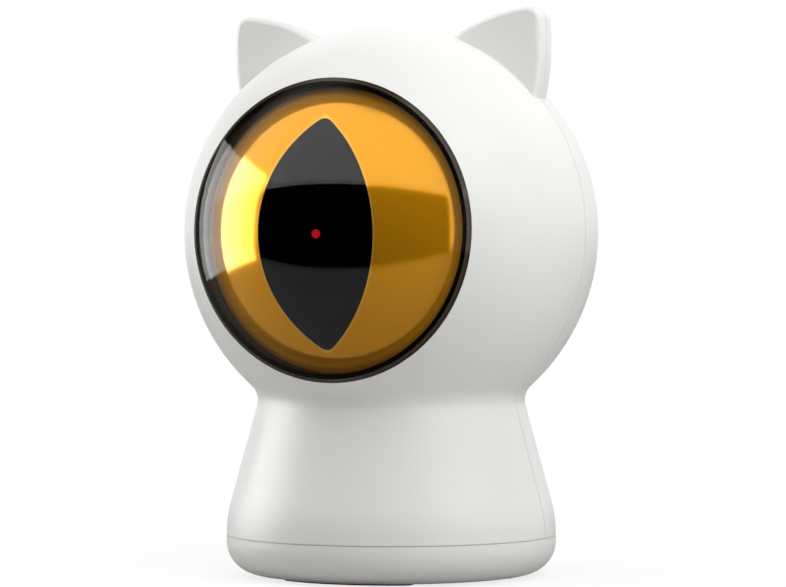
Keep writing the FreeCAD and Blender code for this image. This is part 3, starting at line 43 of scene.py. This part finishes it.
# ------------------------------------------------------------------ node helpers
class Tree:
    """Small builder for the nodes of one material or world."""

    def __init__(self, owner, output):
        owner.use_nodes = True
        self.owner = owner
        self.nt = owner.node_tree
        self.nt.nodes.clear()
        self.out = self.node(output)
        self.coord = None

    def node(self, kind, **values):
        n = self.nt.nodes.new(kind)
        for key, value in values.items():
            setattr(n, key, value)
        return n

    def link(self, a, b):
        self.nt.links.new(a, b)

    def fill(self, sockets, values):
        """Set each socket to its number, or link it to its source. None leaves it alone."""
        for socket, value in zip(sockets, values):
            if isinstance(value, (int, float)):
                socket.default_value = value
            elif value is not None:
                self.link(value, socket)

    def finish(self, shader):
        self.link(shader, self.out.inputs["Surface"])
        return self.owner

    # ---- places
    def position(self):
        """The piece's own coordinates, which are the object's frame in metres."""
        if self.coord is None:
            self.coord = self.node("ShaderNodeTexCoord").outputs["Object"]
        return self.coord

    def split(self, source):
        parts = self.node("ShaderNodeSeparateXYZ")
        self.link(source, parts.inputs[0])
        return parts.outputs

    def eye_radius(self, x, z):
        return self.length(x, self.math("SUBTRACT", z, HEAD_Z))

    # ---- numbers
    def math(self, operation, *values):
        m = self.node("ShaderNodeMath", operation=operation)
        self.fill(m.inputs, values)
        return m.outputs[0]

    def length(self, a, b):
        squares = self.math("ADD", self.math("MULTIPLY", a, a), self.math("MULTIPLY", b, b))
        return self.math("SQRT", squares)

    def span(self, fac, low, high, to_low=0.0, to_high=1.0):
        """Straight ramp from to_low at low to to_high at high, level beyond both."""
        m = self.node("ShaderNodeMapRange")
        self.fill(m.inputs, (fac, low, high, to_low, to_high))
        return m.outputs[0]

    def noise(self, scale, detail=4.0, roughness=0.55, stretch=None):
        n = self.node("ShaderNodeTexNoise")
        n.inputs["Scale"].default_value = scale
        n.inputs["Detail"].default_value = detail
        n.inputs["Roughness"].default_value = roughness
        source = self.position()
        if stretch:
            m = self.node("ShaderNodeMapping")
            m.inputs["Scale"].default_value = stretch
            self.link(source, m.inputs["Vector"])
            source = m.outputs[0]
        self.link(source, n.inputs["Vector"])
        return n.outputs["Fac"]

    # ---- colours
    def ramp(self, fac, stops):
        r = self.node("ShaderNodeValToRGB")
        elements = r.color_ramp.elements
        while len(elements) > 1:
            elements.remove(elements[-1])
        elements[0].position, elements[0].color = stops[0][0], (*stops[0][1], 1)
        for place, color in stops[1:]:
            elements.new(place).color = (*color, 1)
        self.link(fac, r.inputs["Fac"])
        return r.outputs["Color"]

    def drift(self, fac, color, amount):
        """Two nearby tones of one colour."""
        low, high = [tuple(min(1.0, c * k) for c in color) for k in (1 - amount, 1 + amount)]
        return self.ramp(fac, [(MIDDLE[0], low), (MIDDLE[1], high)])

    # ---- shaders
    def principled(self, color, roughness, metallic=0.0, **sockets):
        p = self.node("ShaderNodeBsdfPrincipled")
        p.inputs["Base Color"].default_value = (*color, 1)
        p.inputs["Roughness"].default_value = roughness
        p.inputs["Metallic"].default_value = metallic
        for name, value in sockets.items():
            p.inputs[name.replace("_", " ")].default_value = value
        return p

    def bump(self, height, strength, distance, p):
        b = self.node("ShaderNodeBump")
        b.inputs["Strength"].default_value = strength
        b.inputs["Distance"].default_value = distance
        self.link(height, b.inputs["Height"])
        self.link(b.outputs[0], p.inputs["Normal"])

    def plain(self, kind, color, strength=None):
        """Diffuse, transparent, emission or background shader in one colour."""
        n = self.node(kind)
        n.inputs["Color"].default_value = (*color, 1)
        if strength is not None:
            self.link(strength, n.inputs["Strength"])
        return n.outputs[0]

    def blend(self, fac, a, b):
        """Shader a where fac is 0, and b where it is 1."""
        n = self.node("ShaderNodeMixShader")
        self.fill(n.inputs, (fac, a, b))
        return n.outputs[0]


def material_tree(name):
    return Tree(bpy.data.materials.new(name), "ShaderNodeOutputMaterial")


# ------------------------------------------------------------------ materials
def moulded(name, color, roughness, grain=0.15, grain_scale=2500, **sockets):
    """Moulded plastic or rubber: faint tone drift, fine texture and slightly uneven gloss."""
    tone, gloss_spread = 0.02, 0.05
    t = material_tree(name)
    p = t.principled(color, roughness, **sockets)
    t.link(t.drift(t.noise(35), color, tone), p.inputs["Base Color"])
    gloss = t.span(t.noise(120, 6), *MIDDLE, roughness - gloss_spread, roughness + gloss_spread)
    t.link(gloss, p.inputs["Roughness"])
    t.bump(t.noise(grain_scale, 3), grain, 0.02 * MM, p)
    return t.finish(p.outputs[0])


def metal(name, color, roughness, stretch=(1, 1, 1), scale=900):
    """Machined or drawn metal with fine streaks."""
    t = material_tree(name)
    p = t.principled(color, roughness, metallic=1.0)
    streaks = t.noise(scale, 5, 0.6, stretch)
    t.link(t.drift(streaks, color, 0.07), p.inputs["Base Color"])
    t.link(t.span(streaks, *MIDDLE, roughness * 0.8, roughness * 1.3), p.inputs["Roughness"])
    t.bump(streaks, 0.2, 0.01 * MM, p)
    return t.finish(p.outputs[0])


def shell_material():
    """Satin white moulding with a very fine spark-eroded texture."""
    color, tone = (0.86, 0.86, 0.84), 0.008
    t = material_tree("shell_white")
    p = t.principled(color, 0.36, Specular_IOR_Level=0.5)
    t.link(t.drift(t.noise(30), color, tone), p.inputs["Base Color"])
    t.link(t.span(t.noise(160, 5), *MIDDLE, 0.33, 0.40), p.inputs["Roughness"])
    t.bump(t.noise(3200, 3), 0.12, 0.02 * MM, p)
    return t.finish(p.outputs[0])


def rim_material():
    """Glossy black bezel with a painted amber reflection along its inner edge."""
    # The brown tone is a painted reflection of the amber iris on the bezel's inner edge.
    amber_reflection, black = (0.060, 0.034, 0.004), (0.014, 0.009, 0.004)
    t = material_tree("rim_black")
    x, _, z = t.split(t.position())
    p = t.principled(black, 0.12)
    # Painted amber reflection, fading to black across the bezel's inner edge.
    edge = t.span(t.eye_radius(x, z), *BEZEL_REFLECTION_FADE)
    t.link(t.ramp(edge, [(0.0, amber_reflection), (1.0, black)]), p.inputs["Base Color"])
    t.bump(t.noise(2500, 3), 0.02, 0.02 * MM, p)
    return t.finish(p.outputs[0])


def iris_material():
    """Amber flake moulding under clear coat: a polished dome, a soft bevel darkened by painted shade, and a painted
    highlight round the slit.
    """
    amber, flake_low, flake_high = (0.93, 0.39, 0.007), (0.88, 0.375, 0.005), (0.98, 0.435, 0.009)
    # The pale amber is a painted highlight along the slit's edge.
    painted_highlight = (1.0, 0.64, 0.14)
    # The bevel ramp is painted shade that darkens the amber towards the bezel.
    painted_bevel_shade = [(0.0, WHITE), (0.5, (1.0, 0.96, 0.86)), (1.0, (0.90, 0.78, 0.60))]
    dome_gloss, bevel_gloss = 0.12, 0.42
    dome_metal, bevel_metal = 0.58, 0.15

    t = material_tree("iris_amber")
    x, _, z = t.split(t.position())
    radius = t.eye_radius(x, z)
    p = t.principled(amber, dome_gloss, metallic=dome_metal, Specular_IOR_Level=0.0,
                     Coat_Weight=0.5, Coat_Roughness=0.02)
    t.link(t.span(radius, *DOME_EDGE, dome_metal, bevel_metal), p.inputs["Metallic"])
    t.link(t.span(radius, *DOME_EDGE, dome_gloss, bevel_gloss), p.inputs["Roughness"])

    from_arc = t.length(t.math("ADD", t.math("ABSOLUTE", x), SLIT_OFFSET), t.math("SUBTRACT", z, LASER_Z))
    flakes = t.noise(5200, 2)
    highlighted = t.node("ShaderNodeMix", data_type="RGBA")
    # Painted highlight along the slit's edge.
    t.link(t.span(from_arc, *SLIT_HIGHLIGHT, 0.7, 0.0), highlighted.inputs[0])
    t.link(t.ramp(flakes, [(0.25, flake_low), (0.75, flake_high)]), highlighted.inputs[6])
    highlighted.inputs[7].default_value = (*painted_highlight, 1)
    shaded = t.node("ShaderNodeMix", data_type="RGBA", blend_type="MULTIPLY")
    shaded.inputs[0].default_value = 1.0
    t.link(highlighted.outputs[2], shaded.inputs[6])
    # Painted shade on the bevel.
    t.link(t.ramp(t.span(radius, *BEVEL_SHADE), painted_bevel_shade), shaded.inputs[7])
    t.link(shaded.outputs[2], p.inputs["Base Color"])
    t.bump(flakes, 0.03, 0.01 * MM, p)
    return t.finish(p.outputs[0])


def glass_material(name, tint, roughness, ior):
    """Clear or smoked moulding that lets lamp light through to what is behind it."""
    t = material_tree(name)
    p = t.principled(tint, roughness, IOR=ior, Transmission_Weight=1.0)
    t.link(t.span(t.noise(60, 4), *MIDDLE, roughness * 0.6, roughness * 1.6 + 0.004), p.inputs["Roughness"])
    shadow = t.node("ShaderNodeLightPath").outputs["Is Shadow Ray"]
    return t.finish(t.blend(shadow, p.outputs[0], t.plain("ShaderNodeBsdfTransparent", tint)))


def glow_material(name, color, strength):
    """Coloured lens face that glows a little by itself."""
    t = material_tree(name)
    p = t.principled(color, 0.3, Emission_Color=(*color, 1), Emission_Strength=strength)
    t.link(t.drift(t.noise(900), color, 0.05), p.inputs["Base Color"])
    return t.finish(p.outputs[0])


def board_material():
    """Green solder mask with faint tracks beneath it."""
    t = material_tree("board_green")
    p = t.principled((0.02, 0.14, 0.06), 0.3)
    brick = t.node("ShaderNodeTexBrick")
    brick.inputs["Scale"].default_value = 260
    brick.inputs["Mortar Size"].default_value = 0.03
    brick.inputs["Color1"].default_value = (0.015, 0.13, 0.05, 1)
    brick.inputs["Color2"].default_value = (0.02, 0.16, 0.065, 1)
    brick.inputs["Mortar"].default_value = (0.05, 0.26, 0.12, 1)
    upright = t.node("ShaderNodeMapping")
    upright.inputs["Rotation"].default_value = (math.pi / 2, 0, 0)
    t.link(t.position(), upright.inputs["Vector"])
    t.link(upright.outputs[0], brick.inputs["Vector"])
    t.link(brick.outputs["Color"], p.inputs["Base Color"])
    return t.finish(p.outputs[0])


MATERIALS = {
    "shell_white": shell_material(),
    "rim_black": rim_material(),
    "lens_clear": glass_material("lens_clear", (0.985, 0.985, 0.98), 0.01, ior=1.16),
    "iris_amber": iris_material(),
    "window_dark": glass_material("window_dark", (0.03, 0.014, 0.016), 0.02, ior=1.5),
    "inner_grey": moulded("inner_grey", (0.035, 0.037, 0.04), 0.5, grain=0.3),
    "bay_grey": moulded("bay_grey", (0.06, 0.063, 0.066), 0.5, grain=0.3),
    "steel": metal("steel", (0.58, 0.58, 0.59), 0.28),
    "motor_steel": metal("motor_steel", (0.62, 0.62, 0.63), 0.3, stretch=(1, 1, 0.05)),
    "brass": metal("brass", (0.72, 0.50, 0.20), 0.28),
    "gear_acetal": moulded("gear_acetal", (0.80, 0.79, 0.74), 0.4, grain=0.1),
    "lens_red": glow_material("lens_red", (0.62, 0.02, 0.04), 22.0),
    "black_plastic": moulded("black_plastic", (0.015, 0.015, 0.016), 0.45),
    "diode_gold": metal("diode_gold", (0.80, 0.58, 0.22), 0.2),
    "board_green": board_material(),
    "capacitor_blue": moulded("capacitor_blue", (0.015, 0.025, 0.09), 0.25),
    "header_white": moulded("header_white", (0.74, 0.73, 0.68), 0.45),
    "cell_sleeve": moulded("cell_sleeve", (0.02, 0.022, 0.026), 0.3, metallic=0.6),
    "contact_nickel": metal("contact_nickel", (0.66, 0.64, 0.60), 0.25),
    "rubber": moulded("rubber", (0.025, 0.025, 0.025), 0.75, grain=0.5, grain_scale=1500),
    "button_grey": moulded("button_grey", (0.46, 0.47, 0.47), 0.42, grain=0.2),
    "light_white": moulded("light_white", (0.78, 0.78, 0.75), 0.3, Subsurface_Weight=0.2,
                           Subsurface_Radius=(0.001, 0.001, 0.001)),
}


def dress_nodes():
    """Give every CAD node the material of its slot."""
    slot_of = {row["node"]: row["material_slot"] for row in frame["record"]["subparts"]}
    for name, piece in frame["nodes"].items():
        material = MATERIALS[slot_of[name]]
        for slot in piece.material_slots:
            slot.material = material
        if not piece.material_slots:
            piece.data.materials.append(material)


# ------------------------------------------------------------------ studio
def floor_material():
    """Pale floor: white to the camera with a soft shadow, and to mirrors a white table with a near edge."""
    paper_tone, table_tone, room_tone = (0.55, 0.55, 0.54), (0.92, 0.92, 0.92), (0.004, 0.004, 0.004)
    near, far = 0.10, 0.45                  # between these distances the shadowed paper fades to plain white
    table_edge = (-0.235, -0.215)           # in front of this the mirrored table ends
    mirror_share = 0.6                      # how much of the table's tone a mirror sees over the real paper

    t = material_tree("floor_pale")
    path = t.node("ShaderNodeLightPath").outputs
    x, y, _ = t.split(t.position())
    radius = t.length(x, y)
    paper = t.plain("ShaderNodeBsdfDiffuse", paper_tone)
    backdrop = t.plain("ShaderNodeEmission", WHITE, t.span(radius, near, far, 1.27, 1.0))
    seen = t.math("MULTIPLY", path["Is Camera Ray"], t.span(radius, near, far, 0.62, 1.0))
    lit = t.blend(seen, paper, backdrop)
    mirrored = t.blend(t.math("MULTIPLY", path["Is Glossy Ray"], mirror_share), lit,
                       t.plain("ShaderNodeEmission", table_tone))
    beyond = t.math("MULTIPLY", path["Is Glossy Ray"], t.span(y, *table_edge, 1.0, 0.6))
    return t.finish(t.blend(beyond, mirrored, t.plain("ShaderNodeEmission", room_tone)))


def add_floor():
    bpy.ops.mesh.primitive_circle_add(vertices=96, radius=6.0, fill_type="NGON", location=(0, 0, 0))
    floor = bpy.context.object
    floor.name = "studio_floor"
    floor.data.materials.append(floor_material())


def add_world():
    """White to the camera. Mirrors see a bright ceiling and back wall, and a dark room in front."""
    ambient_low, ambient_high = 0.35, 0.5   # soft light at the horizon and straight above
    ceiling_tone, room_tone = 1.25, 0.004
    world = bpy.data.worlds.new("studio_world")
    scene.world = world
    t = Tree(world, "ShaderNodeOutputWorld")
    path = t.node("ShaderNodeLightPath").outputs
    _, y, z = t.split(t.node("ShaderNodeTexCoord").outputs["Generated"])

    # The ceiling's front edge leans, and it fades out straight above and behind the object.
    front_edge = t.span(t.math("MULTIPLY_ADD", y, 0.3, z), 0.185, 0.197, room_tone, ceiling_tone)
    overhead = t.span(z, 0.95, 0.985, 1.0, 0.2)
    behind = t.span(y, 0.04, 0.16, 1.0, 0.08)
    ceiling = t.math("MULTIPLY", front_edge, t.math("MULTIPLY", overhead, behind))
    back_wall = t.span(y, 0.30, 0.60, 0.0, 1.0)
    mirrored = t.plain("ShaderNodeBackground", WHITE, t.math("MAXIMUM", ceiling, back_wall))

    # The soft light is darker in front and brighter behind.
    ends = t.math("ADD", t.span(y, -1.0, -0.2, -0.21, 0.0), t.span(y, 0.1, 1.0, 0.0, 0.2))
    height = t.span(z, 0.0, 1.0, ambient_low, ambient_high)
    ambient = t.plain("ShaderNodeBackground", WHITE, t.math("ADD", height, ends))

    shiny = t.math("MAXIMUM", path["Is Glossy Ray"], path["Is Transmission Ray"])
    unseen = t.blend(shiny, ambient, mirrored)
    t.finish(t.blend(path["Is Camera Ray"], unseen, t.plain("ShaderNodeBackground", WHITE)))


def softbox(name, azimuth, elevation, distance, size, power, diffuse=True, glossy=True):
    """Area lamp round the head. Azimuth is in degrees from the front towards +X, power in watts."""
    lamp = bpy.data.lights.new(name, "AREA")
    lamp.shape = "RECTANGLE"
    lamp.size, lamp.size_y = size
    lamp.energy = power
    holder = bpy.data.objects.new(name, lamp)
    scene.collection.objects.link(holder)
    a, e = math.radians(azimuth), math.radians(elevation)
    away = Vector((math.sin(a) * math.cos(e), -math.cos(a) * math.cos(e), math.sin(e)))
    holder.location = Vector((0, 0, HEAD_Z)) + away * distance
    holder.rotation_mode = "QUATERNION"
    holder.rotation_quaternion = away.to_track_quat("Z", "Y")
    holder.visible_camera = False
    holder.visible_diffuse = diffuse
    holder.visible_glossy = glossy
    holder.visible_transmission = glossy


def add_lamps():
    """Lamps that light the body are kept out of the reflections where the eye would show them, and the reverse."""
    softbox("top_light", 30, 82, 0.70, (0.6, 0.5), 1.36, glossy=False)
    softbox("front_right", 64, 36, 0.35, (0.22, 0.22), 0.55, glossy=False)
    softbox("right_light", 92, 6, 0.45, (0.20, 0.24), 0.17)
    softbox("left_light", -80, 28, 0.39, (0.3, 0.3), 0.74, glossy=False)
    softbox("left_softbox", -82, 7, 0.36, (0.27, 0.25), 0.85, diffuse=False)
    softbox("right_strip", 61.5, 4, 0.45, (0.07, 0.26), 0.085, diffuse=False)


def add_camera():
    """Level long-lens camera, a little below the head's centre and turned towards the object's left ear."""
    image_width, focal_pixels = 786, 3098
    turn = math.radians(23.6)
    distance = 0.720
    height = HEAD_Z - 14.06 * MM
    side = 0.4 * MM                         # sideways step of the camera, to its right
    camera = bpy.data.cameras.new("camera")
    camera.sensor_width = 36.0
    camera.lens = focal_pixels * camera.sensor_width / image_width
    camera.clip_start, camera.clip_end = 0.01, 20
    holder = bpy.data.objects.new("camera", camera)
    scene.collection.objects.link(holder)
    across = Vector((math.cos(turn), math.sin(turn), 0))
    holder.location = Vector((distance * math.sin(turn), -distance * math.cos(turn), height)) + across * side
    holder.rotation_euler = (math.pi / 2, 0, turn)
    scene.camera = holder


dress_nodes()
add_floor()
add_world()
add_lamps()
add_camera()
